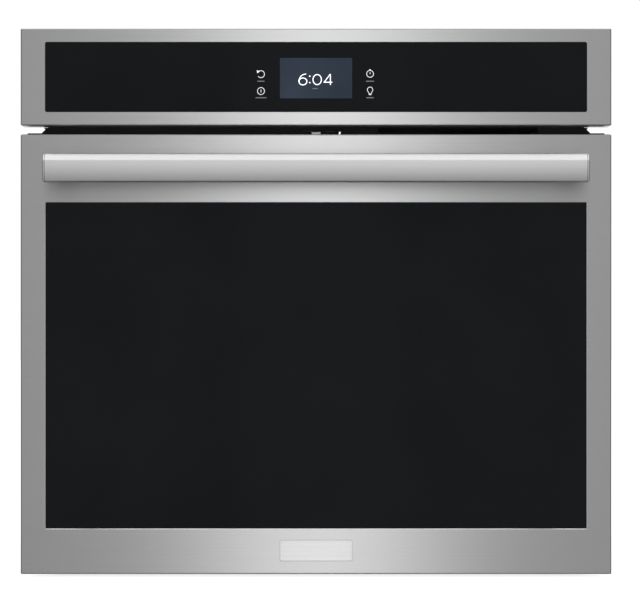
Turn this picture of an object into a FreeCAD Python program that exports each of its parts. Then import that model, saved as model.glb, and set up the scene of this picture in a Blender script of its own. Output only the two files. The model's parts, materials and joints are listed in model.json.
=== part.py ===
import FreeCAD, Part
import os
import re
from FreeCAD import Vector
import Sketcher

# Built-in single wall oven, 30 inch class, in millimetres.
# The frame: X across the front, the front faces -Y, Z up from the base rails.
# The origin is at the middle of the outline in X and Y, on the plane of the base.

SIZES = {
    # overall
    "width": 762, "door_low": 4, "door_tall": 567.3, "gap_tall": 11.2, "panel_tall": 125.3,
    "door_depth": 46, "chassis_depth": 575, "face_overlap": 31, "top_inset": 17.8,
    "sheet_thick": 1, "skin_thick": 1, "slack": 0.3, "running_fit": 0.05,
    # door skin and glass
    "stile": 31.2, "bottom_rail": 58, "top_rail": 87.3, "window_round": 2.5, "fold_deep": 20,
    "fold_round": 2, "glass_thick": 4, "glass_lap": 12, "middle_gap": 13.5,
    "pane_margin": 75, "pane_edge": 14, "pane_lip": 8,
    # door liner and its trim
    "liner_inset": 9, "liner_low": 5, "liner_top": 5.3, "liner_gap": 5, "liner_window": 26,
    "trim_slots": 12, "trim_slot_wide": 30, "trim_slot_deep": 5,
    # handle and nameplate
    "handle_long": 697, "handle_tall": 36.9, "handle_thick": 20, "handle_reach": 57,
    "handle_drop": 45.2, "handle_round": 2, "handle_wall": 2, "facet_deep": 11, "facet_tall": 9.3,
    "cap_thick": 3.3, "cap_plug": 10, "post_inset": 24, "post_wide": 22, "post_tall": 26,
    "post_round": 5, "post_screw": 2, "post_screw_gap": 8, "post_screw_long": 16, "post_hole_long": 17,
    "badge_wide": 93.5, "badge_tall": 27, "badge_thick": 1.2, "badge_round": 2, "badge_drop": 30.7,
    # hinges
    "hinge_inset": 46, "pivot_deep": 32, "pivot_up": 14, "pivot_radius": 3, "arm_thick": 6,
    "arm_eye": 7, "arm_tail": 118, "arm_tall": 12, "arm_riser": 29, "arm_riser_long": 70,
    "slot_half": 6.5, "crank": 7, "crank_radius": 1.8, "crank_rise": 1.43, "channel_wide": 16,
    "channel_wall": 2, "channel_front": 14, "channel_tall": 190, "rod_thick": 2, "rod_gap": 0.5,
    "rod_half": 7, "rod_lip": 4, "rod_strip": 5, "rod_tall": 80, "spring_radius": 4.3,
    "spring_wire": 0.8, "spring_pitch": 4, "spring_tall": 96,
    # control panel
    "panel_stile": 31.5, "panel_rail": 17.4, "panel_fold": 44, "shelf_lap": 1, "panel_glass_thick": 3,
    "panel_glass_lap": 8, "display_wide": 93.2, "display_tall": 52.2, "display_thick": 14,
    "display_drop": 1.4,
    "board_wide": 300, "board_tall": 80, "board_thick": 1.6, "board_post": 3, "board_edge": 8,
    "board_window": 200, "chip_size": 24, "chip_thick": 6, "chip_step": 75,
    # chassis
    "rail_tall": 12, "rail_wide": 30, "base_front": 6, "frame_low": 36, "frame_thick": 1.5,
    "frame_fold": 20, "frame_lap": 4, "opening_round": 12, "flange_inset": 5, "flange_above": 3.7,
    "tab_out": 7.7, "tab_neck": 3, "tab_neck_drop": 2.8, "tab_top": 4.7, "flange_hole": 2.5,
    "flange_hole_low": 120,
    "screw_count": 4, "screw_radius": 2, "screw_head": 4, "screw_head_thick": 2, "screw_grip": 6,
    "screw_back": 14, "louvre_long": 60, "louvre_tall": 4, "louvre_step": 10, "louvre_count": 7,
    # cavity
    "side_space": 45, "cavity_low": 72, "cavity_drop": 37.3, "cavity_deep": 500,
    "cavity_wall": 1.2, "wool_thick": 26, "wool_behind": 32.5, "wool_gap": 0.5, "shield_up": 30,
    "gasket_radius": 2, "gasket_out": 8, "gasket_round": 20,
    # racks and their supports
    "rack_first": 190, "rack_step": 100, "rack_front": 88, "rack_deep": 407, "wire_radius": 3,
    "grid_radius": 1.6, "grid_count": 15, "rack_round": 22, "rail_step": 50, "rail_count": 7,
    "ladder_front": 120, "ladder_rear": 480, "ladder_up": 34, "rail_front": 70, "rail_rear": 530,
    "rail_inset": 2, "foot_up": 9, "rack_bar_step": 135.7,
    # elements and cavity fittings
    "element_radius": 3.4, "element_tail": 24, "element_bend": 18, "element_side": 70,
    "element_front": 64, "element_back": 70, "element_up": 23, "broil_down": 29,
    "bake_tail": 45, "broil_tail": 60, "broil_inner": 120, "element_plate": 10,
    "element_hole": 4.2, "plate_thick": 1.3,
    "fan_up": 300, "fan_radius": 78, "fan_deep": 20, "fan_hub": 14, "fan_ahead": 30.3, "shaft": 4,
    "shaft_long": 74, "shaft_end": 2, "blade_count": 10, "blade_root": 12, "blade_sweep": 12,
    "ring_radius": 95, "ring_wire": 3, "ring_ahead": 20.3, "ring_gap": 15,
    "cover_half": 130, "cover_tall_half": 135, "cover_deep": 40, "cover_slot": 4,
    "cover_slot_step": 10, "cover_slot_half": 53, "cover_vent_half": 14, "cover_vent_step": 28,
    "motor_radius": 38, "motor_flange": 60, "motor_neck": 30, "motor_long": 59,
    "lamp_left": 220, "lamp_drop": 84, "lens_radius": 34, "lens_deep": 12, "lens_wall": 3,
    "lamp_hole": 26, "bulb_radius": 9, "bulb_round": 7, "bulb_long": 33, "bulb_ahead": 4.3,
    "socket_radius": 12,
    "housing_deep": 44, "housing_wall": 1.5, "probe_right": 200, "probe_drop": 64,
    "probe_radius": 2.4, "probe_long": 96, "probe_tail": 22, "probe_plate": 15,
    # top compartment
    "blower_left": 80, "blower_right": 290, "blower_deep": 260,
    "blower_radius": 44, "wheel_radius": 36, "wheel_gap": 8, "duct_tall": 11.5, "duct_above": 0.2,
    "intake_radius": 26, "vane_count": 16, "vane_root": 28, "vane_tip": 35, "vane_lean": 2,
    "blower_foot": 14, "blower_hole": 8, "blower_motor_radius": 28, "blower_motor_long": 42,
    "blower_motor_gap": 5, "gland_left": 280, "gland_drop": 50, "gland_radius": 15,
    "gland_bore": 10.5, "gland_flange": 19, "gland_nut": 4, "gland_reach": 14,
    # latch and door switch
    "latch_behind": 37.5, "latch_thick": 2.5, "latch_above": 1.7, "latch_wide": 12, "latch_eye": 10,
    "latch_pin": 4, "lug_deep": 5, "lug_half": 4, "lug_front": 28, "lug_drop": 9.3,
    "latch_slot": 8, "latch_swing": 32, "latch_motor_tall": 42, "latch_motor_half": 30,
    "switch_left": 250, "switch_drop": 22.3, "plunger_radius": 3.5, "plunger_gap": 0.4,
    "plunger_long": 19, "switch_deep": 27, "switch_half": 8,
}

doc = FreeCAD.newDocument("WallOven")
sheet = doc.addObject("Spreadsheet::Sheet", "Sizes")
for row, (alias, number) in enumerate(SIZES.items(), start=1):
    sheet.set(f"A{row}", alias)
    sheet.set(f"B{row}", str(number))
    sheet.setAlias(f"B{row}", alias)
doc.recompute()


# ---------------------------------------------------------------- expressions

def bound(text):
    """The expression with each size's name pointed at its cell in the sheet."""
    def cell(word):
        return "Sizes." + word.group(0) if word.group(0) in SIZES else word.group(0)
    return re.sub(r"[a-z][a-z_]*", cell, str(text))


def value(text):
    """What an expression comes to, as a number."""
    return float(sheet.evalExpression(bound(text)))


def near(number, text):
    """Whether a coordinate is at an expression's place."""
    return abs(number - value(text)) < 1e-3


def depth(text):
    """The Y of a plane so far behind the door's front face."""
    return f"((handle_reach - door_depth - chassis_depth - gland_reach)/2 + ({text}))"


def between(side, near, far):
    """Start and end of a stretch of X on one side: side is 1 for right and -1 for left."""
    if side > 0:
        return f"({near})", f"({far})"
    return f"(-({far}))", f"(-({near}))"


DOOR_TOP = "(door_low + door_tall)"
PANEL_LOW = f"({DOOR_TOP} + gap_tall)"
PANEL_TOP = f"({PANEL_LOW} + panel_tall)"
BODY_TOP = f"({PANEL_TOP} - top_inset)"
BODY_HALF = "(width/2 - face_overlap)"
INNER_HALF = f"({BODY_HALF} - sheet_thick)"
FACE = depth("door_depth")
FRAME_BACK = depth("door_depth + frame_thick")
REAR = depth("door_depth + chassis_depth")
BASE_TOP = "(rail_tall + sheet_thick)"
WINDOW_HALF = "(width/2 - stile)"
WINDOW_LOW = "(door_low + bottom_rail)"
WINDOW_TOP = f"({DOOR_TOP} - top_rail)"
LINER_HALF = "(width/2 - liner_inset)"
LINER_LOW = "(door_low + liner_low)"
LINER_TOP = f"({DOOR_TOP} - liner_top)"
LINER_REAR = "(door_depth - liner_gap)"
LINER_FACE = depth(f"{LINER_REAR} - skin_thick")
INNER_PANE = f"({LINER_REAR} - skin_thick - glass_thick)"
PANE_HALF = f"({WINDOW_HALF} - pane_margin + pane_edge)"
PANE_LOW = f"({WINDOW_LOW} - glass_lap + pane_edge)"
PANE_TOP = f"({WINDOW_TOP} + glass_lap - pane_edge)"
CAVITY_HALF = f"({BODY_HALF} - side_space)"
CAVITY_TOP = f"({DOOR_TOP} - cavity_drop)"
CAVITY_REAR = "(door_depth + frame_thick + cavity_deep)"
CAVITY_BACK = f"({CAVITY_REAR} - cavity_wall)"
FAN_FRONT = f"({CAVITY_BACK} - fan_ahead)"
RING_AT = f"({CAVITY_BACK} - ring_ahead)"
BULB_FRONT = f"({CAVITY_BACK} - bulb_ahead)"
SHIELD = f"({CAVITY_TOP} + shield_up)"
LAMP_UP = f"({CAVITY_TOP} - lamp_drop)"
PROBE_UP = f"({CAVITY_TOP} - probe_drop)"
HINGE = "(width/2 - hinge_inset)"
PIVOT_UP = "(door_low + pivot_up)"
LATCH_LOW = f"({DOOR_TOP} + latch_above)"
LATCH_PIVOT = "(door_depth + frame_thick + latch_behind)"
HANDLE_UP = f"({DOOR_TOP} - handle_drop)"
SWITCH_UP = f"({DOOR_TOP} - switch_drop)"


# ---------------------------------------------------------------- sketch shapes

def outline(points):
    """A closed outline through points, each a pair of expressions."""
    def draw(sketch, held):
        first = sketch.GeometryCount
        spots = [(value(u), value(v)) for u, v in points]
        count = len(points)
        for at in range(count):
            start, end = spots[at], spots[(at + 1) % count]
            sketch.addGeometry(Part.LineSegment(Vector(*start, 0), Vector(*end, 0)))
        for at in range(count):
            after = first + (at + 1) % count
            held.append((Sketcher.Constraint("Coincident", first + at, 2, after, 1), None))
        for at, spot in enumerate(points):
            held += pins(first + at, 1, spot)
    return draw


def pins(geometry, point, spot):
    """What holds a sketch point at a spot, a pair of expressions."""
    kinds = ("DistanceX", "DistanceY")
    return [(Sketcher.Constraint(kind, geometry, point, value(text)), text)
            for kind, text in zip(kinds, spot)]


def radius_of(geometry, radius):
    """What holds the radius of a circle or an arc."""
    return Sketcher.Constraint("Radius", geometry, value(radius)), radius


def rect(left, low, right, high):
    """A rectangle from its four edges."""
    return outline([(left, low), (right, low), (right, high), (left, high)])


def disc(u, v, radius):
    """A circle."""
    def draw(sketch, held):
        circle = Part.Circle(Vector(value(u), value(v), 0), Vector(0, 0, 1), value(radius))
        number = sketch.addGeometry(circle)
        held.append(radius_of(number, radius))
        held += pins(number, 3, (u, v))
    return draw


def way_between(start, end):
    """The unit step of a level or upright run from one spot to the next."""
    steps = [0 if near(value(b), a) else (1 if value(b) > value(a) else -1) for a, b in zip(start, end)]
    return Vector(*steps, 0)


def route(points, bend, closed=False):
    """Level and upright runs through the points, joined by quarter turns of one radius."""
    def draw(sketch, held):
        count = len(points)
        runs = count if closed else count - 1
        lines = []
        for at in range(runs):
            start, end = points[at], points[(at + 1) % count]
            way = way_between(start, end)
            trim_start = bend if closed or at > 0 else "0"
            trim_end = bend if closed or at < runs - 1 else "0"
            start = [f"({text}) + {step}*({trim_start})" for text, step in zip(start, way)]
            end = [f"({text}) - {step}*({trim_end})" for text, step in zip(end, way)]
            ends = [Vector(value(spot[0]), value(spot[1]), 0) for spot in (start, end)]
            line = sketch.addGeometry(Part.LineSegment(*ends))
            held += pins(line, 1, start) + pins(line, 2, end)
            lines.append((line, ends, way))
        for at in range(runs if closed else runs - 1):
            line, ends, way = lines[at]
            other, other_ends, other_way = lines[(at + 1) % runs]
            radius = value(bend)
            centre = ends[1] + other_way * radius
            middle = centre - (other_way - way) * (radius / 2 ** 0.5)
            arc = sketch.addGeometry(Part.Arc(ends[1], middle, other_ends[0]))
            starts_here = sketch.getPoint(arc, 1).isEqual(ends[1], 1e-6)
            first, last = (1, 2) if starts_here else (2, 1)
            held.append((Sketcher.Constraint("Coincident", line, 2, arc, first), None))
            held.append((Sketcher.Constraint("Coincident", other, 1, arc, last), None))
            held.append(radius_of(arc, bend))
    return draw


def rounded(left, low, right, high, radius):
    """A rectangle with rounded corners."""
    return route([(left, low), (right, low), (right, high), (left, high)], radius, closed=True)


# ---------------------------------------------------------------- sub-parts

pieces = []
# For each plane: its role, and whether its normal runs with or against the axis it is named by.
PLANES = {"XY": ("XY_Plane", 1), "XZ": ("XZ_Plane", -1), "YZ": ("YZ_Plane", 1)}


class Piece:
    """One sub-part: a body built of pads and pockets on its own origin planes."""

    def __init__(self, label, group=False):
        self.body = doc.addObject("PartDesign::Body", label)
        self.body.Label = label
        self.body.AllowCompound = True
        pieces.append((self.body, group))

    def origin(self, role):
        """A plane or axis of this body's own origin."""
        return next(item for item in self.body.Origin.OriginFeatures if item.Role == role)

    def place(self, **spot):
        """Moves the body, its place bound to expressions."""
        for axis, text in spot.items():
            self.body.setExpression(f"Placement.Base.{axis}", bound(text))

    def sketch(self, plane, start, shapes):
        """A sketch of shapes on a plane, set off to a place along that plane's axis."""
        role, sign = PLANES[plane]
        sketch = self.body.newObject("Sketcher::SketchObject", f"{self.body.Label}_sketch")
        sketch.AttachmentSupport = (self.origin(role), [""])
        sketch.MapMode = "FlatFace"
        sketch.setExpression("AttachmentOffset.Base.z", bound(f"{sign}*({start})"))
        held = []
        for shape in shapes:
            shape(sketch, held)
        numbers = sketch.addConstraint([constraint for constraint, text in held])
        for number, (constraint, text) in zip(numbers, held):
            if text is not None:
                sketch.setExpression(f"Constraints[{number}]", bound(text))
        return sketch

    def add(self, plane, start, end, *shapes):
        """Material between two places along the plane's axis."""
        profile = self.sketch(plane, start, shapes)
        pad = self.body.newObject("PartDesign::Pad", f"{self.body.Label}_pad")
        pad.Profile = profile
        pad.Reversed = PLANES[plane][1] < 0
        pad.setExpression("Length", bound(f"({end}) - ({start})"))
        doc.recompute()
        return pad

    def cut(self, plane, start, end, *shapes):
        """A pocket between two places along the plane's axis."""
        before = self.body.Tip.Shape.Volume
        profile = self.sketch(plane, start, shapes)
        pocket = self.body.newObject("PartDesign::Pocket", f"{self.body.Label}_pocket")
        pocket.Profile = profile
        pocket.Reversed = PLANES[plane][1] > 0
        pocket.setExpression("Length", bound(f"({end}) - ({start})"))
        doc.recompute()
        if not pocket.Shape.Volume < before - 1e-6:
            raise ValueError(f"{self.body.Label}: a pocket took nothing away")
        return pocket

    def soften(self, radius, wanted):
        """A fillet on the edges that the test wanted picks."""
        base = self.body.Tip
        names = [f"Edge{at}" for at, edge in enumerate(base.Shape.Edges, start=1) if wanted(edge)]
        fillet = self.body.newObject("PartDesign::Fillet", f"{self.body.Label}_fillet")
        fillet.Base = (base, names)
        fillet.setExpression("Radius", bound(radius))
        doc.recompute()
        return fillet

    def sweep(self, path, profile):
        """A rod or tube: one sketch swept along another."""
        pipe = self.body.newObject("PartDesign::AdditivePipe", f"{self.body.Label}_pipe")
        pipe.Profile = profile
        pipe.Spine = path
        doc.recompute()
        return pipe

    def around(self, feature, role, count):
        """A feature repeated round one of the origin's axes."""
        pattern = self.body.newObject("PartDesign::PolarPattern", f"{self.body.Label}_pattern")
        pattern.Originals = [feature]
        pattern.Axis = (self.origin(role), [""])
        pattern.Angle = 360
        pattern.setExpression("Occurrences", bound(count))
        self.body.Tip = pattern
        doc.recompute()
        return pattern


def flat(edge, axis, text):
    """Whether a whole edge lies in the plane that crosses an axis at a place."""
    box = edge.BoundBox
    low, high = getattr(box, f"{axis}Min"), getattr(box, f"{axis}Max")
    return near(low, text) and near(high, text)


def runs_along(edge, axis):
    """Whether an edge is a straight run along an axis."""
    box = edge.BoundBox
    sizes = {"X": box.XLength, "Y": box.YLength, "Z": box.ZLength}
    across = [size for name, size in sizes.items() if name != axis]
    return sizes[axis] > 1e-3 and max(across) < 1e-3


# ---------------------------------------------------------------- door

def door_skin():
    """The folded stainless front of the door, with its window and the handle's screw holes."""
    piece = Piece("door_skin")
    front, back = depth(0), depth("fold_deep")
    piece.add("XZ", front, back, rect("-width/2", "door_low", "width/2", DOOR_TOP))
    piece.soften("fold_round", lambda edge: flat(edge, "Y", front) or runs_along(edge, "Y"))
    piece.cut("XZ", depth("skin_thick"), back,
              rect("-width/2 + skin_thick", "door_low + skin_thick",
                   "width/2 - skin_thick", f"{DOOR_TOP} - skin_thick"))
    piece.cut("XZ", front, depth("skin_thick"),
              rounded(f"-{WINDOW_HALF}", WINDOW_LOW, WINDOW_HALF, WINDOW_TOP, "window_round"))
    holes = [disc(x, z, "post_screw + slack") for x, z in screw_spots()]
    piece.cut("XZ", front, depth("skin_thick"), *holes)


def screw_spots():
    """The centres of the four handle screws."""
    post = "(handle_long/2 - post_inset)"
    rows = [f"{HANDLE_UP} - post_screw_gap", f"{HANDLE_UP} + post_screw_gap"]
    return [(f"{side}*{post}", row) for side in (-1, 1) for row in rows]


def door_glass():
    """The three panes, each a flat sheet, from the black outer one to the one at the cavity."""
    outer = Piece("outer_glass")
    outer.add("XZ", depth("skin_thick"), depth("skin_thick + glass_thick"),
              rect(f"-{WINDOW_HALF} - glass_lap", f"{WINDOW_LOW} - glass_lap",
                   f"{WINDOW_HALF} + glass_lap", f"{WINDOW_TOP} + glass_lap"))
    fronts = {"middle_glass": "skin_thick + glass_thick + middle_gap", "inner_glass": INNER_PANE}
    for label, front in fronts.items():
        pane = Piece(label)
        pane.add("XZ", depth(front), depth(f"{front} + glass_thick"),
                 rect(f"-{PANE_HALF} + slack", f"{PANE_LOW} + slack",
                      f"{PANE_HALF} - slack", f"{PANE_TOP} - slack"))


def pane_frame():
    """The ring that spaces the panes and holds the middle one in a groove."""
    piece = Piece("pane_frame")
    start = "skin_thick + glass_thick"
    middle = f"{start} + middle_gap"
    after = f"{middle} + glass_thick"
    layers = [(start, middle, "0"), (middle, after, "pane_lip"), (after, INNER_PANE, "0")]
    for front, back, wider in layers:
        inside = f"(pane_lip - {wider})"
        piece.add("XZ", depth(front), depth(back),
                  rect(f"-{PANE_HALF} - pane_lip", f"{PANE_LOW} - pane_lip",
                       f"{PANE_HALF} + pane_lip", f"{PANE_TOP} + pane_lip"),
                  rect(f"-{PANE_HALF} + {inside}", f"{PANE_LOW} + {inside}",
                       f"{PANE_HALF} - {inside}", f"{PANE_TOP} - {inside}"))


def latch_notches(piece, low, high):
    """The way in for the latch lug, open to the rear, and the pocket that it swings into."""
    front, back = depth("lug_front - lug_half"), depth(f"{LINER_REAR} - 2*skin_thick")
    piece.cut("XY", low, high, rect("-latch_slot", front, "latch_swing", back))
    piece.cut("XY", low, high,
              rect("-latch_slot", f"{back} - skin_thick", "latch_slot", depth(LINER_REAR)))


def door_liner():
    """The enamelled inner pan of the door, with its window, hinge slots and latch slot."""
    piece = Piece("door_liner")
    front, back = depth("skin_thick"), depth(LINER_REAR)
    piece.add("XZ", front, back, rect(f"-{LINER_HALF}", LINER_LOW, LINER_HALF, LINER_TOP))
    piece.soften("fold_round", lambda edge: flat(edge, "Y", back) or runs_along(edge, "Y"))
    piece.cut("XZ", front, LINER_FACE,
              rect(f"-{LINER_HALF} + skin_thick", f"{LINER_LOW} + skin_thick",
                   f"{LINER_HALF} - skin_thick", f"{LINER_TOP} - skin_thick"))
    piece.cut("XZ", LINER_FACE, back,
              rounded(f"-{PANE_HALF} + liner_window", f"{PANE_LOW} + liner_window",
                      f"{PANE_HALF} - liner_window", f"{PANE_TOP} - liner_window", "opening_round"))
    for side in (-1, 1):
        left, right = between(side, f"{HINGE} - slot_half", f"{HINGE} + slot_half")
        piece.cut("YZ", left, right,
                  rect(depth("fold_deep"), LINER_LOW, back, f"{PIVOT_UP} + arm_eye + rod_lip"))
    latch_notches(piece, f"{LINER_TOP} - lug_drop + liner_top", LINER_TOP)


def door_top_trim():
    """The black vented strip along the top of the door, behind the skin's fold."""
    piece = Piece("door_top_trim")
    front, back = depth("fold_deep + slack"), depth(f"{LINER_REAR} - slack")
    piece.add("XY", LINER_TOP, DOOR_TOP, rect(f"-{LINER_HALF}", front, LINER_HALF, back))
    slots = []
    pitch = f"(({LINER_HALF} - latch_swing)/(trim_slots/2 + 1))"
    for side in (-1, 1):
        for number in range(1, int(value("trim_slots/2")) + 1):
            middle = f"{side}*(latch_swing + {number}*{pitch})"
            slots.append(rect(f"{middle} - trim_slot_wide/2", depth("lug_front"),
                              f"{middle} + trim_slot_wide/2", depth("lug_front + trim_slot_deep")))
    piece.cut("XY", LINER_TOP, DOOR_TOP, *slots)
    latch_notches(piece, LINER_TOP, DOOR_TOP)


def handle_section(inset):
    """The bar's section, set in from its faces: upright at the front with a sloping top facet."""
    front, back = f"(-handle_reach + {inset})", f"(handle_thick - handle_reach - ({inset}))"
    low, high = f"({HANDLE_UP} - handle_tall/2 + {inset})", f"({HANDLE_UP} + handle_tall/2 - ({inset}))"
    slope = "sqrt(1/facet_deep^2 + 1/facet_tall^2)"
    facet_back = f"(facet_deep*(1 + ({inset})*({slope} - 1/facet_tall)) - handle_reach)"
    facet_low = f"({HANDLE_UP} + handle_tall/2 - facet_tall*(1 + ({inset})*({slope} - 1/facet_deep)))"
    return outline([(depth(front), low), (depth(back), low), (depth(back), high),
                    (depth(facet_back), high), (depth(front), facet_low)])


def handle():
    """The hollow bar, its two caps, the posts that stand it off and the screws that hold it."""
    back = "handle_thick - handle_reach"
    half = "(handle_long/2 - cap_thick)"

    bar = Piece("handle_bar")
    bar.add("YZ", f"-{half}", half, handle_section("0"))
    bar.soften("handle_round", lambda edge: runs_along(edge, "X"))
    bar.cut("YZ", f"-{half}", half, handle_section("handle_wall"))

    caps = Piece("handle_end_caps", group=True)
    posts = Piece("handle_posts", group=True)
    screws = Piece("handle_screws", group=True)
    for side in (-1, 1):
        caps.add("YZ", *between(side, half, f"{half} + cap_thick"), handle_section("0"))
        middle = f"{side}*(handle_long/2 - post_inset)"
        posts.add("XZ", depth(back), depth(0),
                  rounded(f"{middle} - post_wide/2", f"{HANDLE_UP} - post_tall/2",
                          f"{middle} + post_wide/2", f"{HANDLE_UP} + post_tall/2", "post_round"))
    spots = screw_spots()
    posts.cut("XZ", depth("-post_hole_long"), depth(0),
              *[disc(x, z, "post_screw + running_fit") for x, z in spots])
    screws.add("XZ", depth("-post_screw_long"), depth("skin_thick"),
               *[disc(x, z, "post_screw") for x, z in spots])
    screws.add("XZ", depth("skin_thick"), depth("skin_thick + screw_head_thick"),
               *[disc(x, z, "screw_head") for x, z in spots])
    caps.soften("handle_round", lambda edge: runs_along(edge, "X"))
    for side in (-1, 1):
        caps.soften("cap_thick/2", lambda edge, end=side: flat(edge, "X", f"{end}*handle_long/2"))
    for side in (-1, 1):
        caps.add("YZ", *between(side, f"{half} - cap_plug", half), handle_section("handle_wall + slack"))


def badge_plate():
    """The blank nameplate at the bottom of the door."""
    piece = Piece("badge_plate")
    middle = "(door_low + badge_drop)"
    piece.add("XZ", depth("-badge_thick"), depth(0),
              rounded("-badge_wide/2", f"{middle} - badge_tall/2",
                      "badge_wide/2", f"{middle} + badge_tall/2", "badge_round"))
    piece.soften("badge_thick/3", lambda edge: flat(edge, "Y", depth("-badge_thick")))


# ---------------------------------------------------------------- hinges

def hinge(name, side):
    """One hinge: the arm and its pins on the chassis, and the channel, rod and spring in the door."""
    pivot_y = depth("pivot_deep")
    arm_half = "arm_thick/2"
    crank_up = f"({PIVOT_UP} + crank)"

    arm = Piece(f"{name}_hinge_arm")
    across = between(side, f"{HINGE} - {arm_half}", f"{HINGE} + {arm_half}")
    arm.add("YZ", *across, disc(pivot_y, PIVOT_UP, "arm_eye"))
    tail = depth("pivot_deep + arm_tail")
    arm.add("YZ", *across, rect(pivot_y, BASE_TOP, tail, f"{BASE_TOP} + arm_tall"))
    arm.add("YZ", *across, rect(f"{tail} - arm_riser_long", BASE_TOP, tail, f"{BASE_TOP} + arm_riser"))
    arm.add("YZ", *between(side, f"{HINGE} - channel_wide/2 - rod_gap", f"{HINGE} - {arm_half}"),
            disc(pivot_y, PIVOT_UP, "pivot_radius"))
    arm.add("YZ", *between(side, f"{HINGE} + {arm_half}", f"{HINGE} + {arm_half} + rod_thick + rod_gap"),
            disc(pivot_y, crank_up, "crank_radius"))

    channel = Piece(f"{name}_hinge_channel")
    low = f"({LINER_LOW} + skin_thick)"
    high = f"({low} + channel_tall)"
    channel.add("YZ", *between(side, f"{HINGE} - channel_wide/2", f"{HINGE} + channel_wide/2"),
                rect(depth("channel_front"), low, LINER_FACE, high))
    inside = between(side, f"{HINGE} - channel_wide/2 + channel_wall",
                     f"{HINGE} + channel_wide/2 - channel_wall")
    channel.cut("YZ", *inside, rect(depth("channel_front + channel_wall"), low, LINER_FACE,
                                    f"{high} - channel_wall"))
    wall = between(side, f"{HINGE} - channel_wide/2", f"{HINGE} - channel_wide/2 + channel_wall")
    channel.cut("YZ", *wall, disc(pivot_y, PIVOT_UP, "pivot_radius + running_fit"))

    rod = Piece(f"{name}_pull_rod")
    near_arm = f"{HINGE} + {arm_half} + rod_gap"
    sheet_span = between(side, near_arm, f"{near_arm} + rod_thick")
    hook_low = f"({crank_up} - crank_radius - slack - rod_lip)"
    slot_top = f"({crank_up} + crank_radius + crank_rise + slack)"
    rod_front, rod_back = depth("pivot_deep - rod_half"), depth("pivot_deep + rod_half")
    rod_top = f"({PIVOT_UP} + rod_tall)"
    rod.add("YZ", *sheet_span, rect(rod_front, hook_low, rod_back, f"{slot_top} + rod_lip"))
    rod.cut("YZ", *sheet_span,
            rect(depth("pivot_deep - crank_radius - slack"), f"{hook_low} + rod_lip", rod_back, slot_top))
    rod.add("YZ", *sheet_span, rect(rod_front, slot_top, f"{rod_front} + rod_strip", rod_top))
    left, right = between(side, f"{HINGE} - rod_strip", f"{near_arm} + rod_thick")
    rod.add("XY", rod_top, f"{rod_top} + rod_thick",
            rect(left, f"{rod_front} - rod_strip", right, f"{rod_front} + rod_strip"))

    spring = Piece(f"{name}_hinge_spring")
    coil = spring.body.newObject("PartDesign::AdditiveHelix", f"{name}_coil")
    profile = spring.sketch("XZ", "0", [disc("spring_radius", "spring_wire", "spring_wire")])
    coil.Profile = profile
    coil.ReferenceAxis = (profile, ["V_Axis"])
    coil.Mode = "pitch-height-angle"
    coil.setExpression("Pitch", bound("spring_pitch"))
    coil.setExpression("Height", bound("spring_tall"))
    spring.place(x=f"{side}*{HINGE}", y=rod_front, z=f"{rod_top} + rod_thick")
    doc.recompute()


# ---------------------------------------------------------------- control panel

def control_panel():
    """The steel surround, its black glass, the display behind it and the board."""
    frame = Piece("control_panel_frame")
    front, back = depth(0), depth("panel_fold")
    frame.add("XZ", front, back, rect("-width/2", PANEL_LOW, "width/2", PANEL_TOP))
    frame.soften("fold_round", lambda edge: flat(edge, "Y", front) or runs_along(edge, "Y"))
    frame.cut("XZ", depth("skin_thick"), back,
              rect("-width/2 + skin_thick", f"{PANEL_LOW} + skin_thick",
                   "width/2 - skin_thick", f"{PANEL_TOP} - skin_thick"))
    low, high = f"({PANEL_LOW} + panel_rail)", f"({PANEL_TOP} - panel_rail)"
    half = "(width/2 - panel_stile)"
    frame.cut("XZ", front, depth("skin_thick"), rounded(f"-{half}", low, half, high, "window_round"))
    frame.add("XZ", depth("panel_fold - shelf_lap"), FACE,
              rect(f"-{INNER_HALF} + frame_fold", PANEL_LOW, f"{INNER_HALF} - frame_fold",
                   f"{PANEL_LOW} + skin_thick"))

    glass_back = "skin_thick + panel_glass_thick"
    glass = Piece("control_glass")
    glass.add("XZ", depth("skin_thick"), depth(glass_back),
              rect(f"-{half} - panel_glass_lap", f"{low} - panel_glass_lap",
                   f"{half} + panel_glass_lap", f"{high} + panel_glass_lap"))

    middle = f"(({PANEL_LOW} + {PANEL_TOP})/2)"
    display = Piece("display_module")
    display.add("XZ", depth(glass_back), depth(f"{glass_back} + display_thick"),
                rect("-display_wide/2", f"{middle} - display_drop - display_tall/2",
                     "display_wide/2", f"{middle} - display_drop + display_tall/2"))
    display.soften("skin_thick", lambda edge: runs_along(edge, "Y"))

    board = Piece("control_board")
    board_front = f"{glass_back} + display_thick"
    board_back = f"{board_front} + board_thick"
    board_low, board_high = f"({middle} - board_tall/2)", f"({middle} + board_tall/2)"
    board.add("XZ", depth(board_front), depth(board_back),
              rect("-board_wide/2", board_low, "board_wide/2", board_high))
    rows = (f"{board_low} + board_edge", f"{board_high} - board_edge")
    posts = [disc(f"{side}*(board_wide/2 - board_edge)", row, "board_post")
             for side in (-1, 1) for row in rows]
    board.add("XZ", depth(glass_back), depth(board_front), *posts)
    spots = [f"{side}*{number}*chip_step/2" for side in (-1, 1) for number in (1, 3)]
    chips = [rect(f"{spot} - chip_size/2", f"{middle} - chip_size/2",
                  f"{spot} + chip_size/2", f"{middle} + chip_size/2") for spot in spots]
    board.add("XZ", depth(board_back), depth(f"{board_back} + chip_thick"), *chips)


# ---------------------------------------------------------------- chassis

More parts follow.
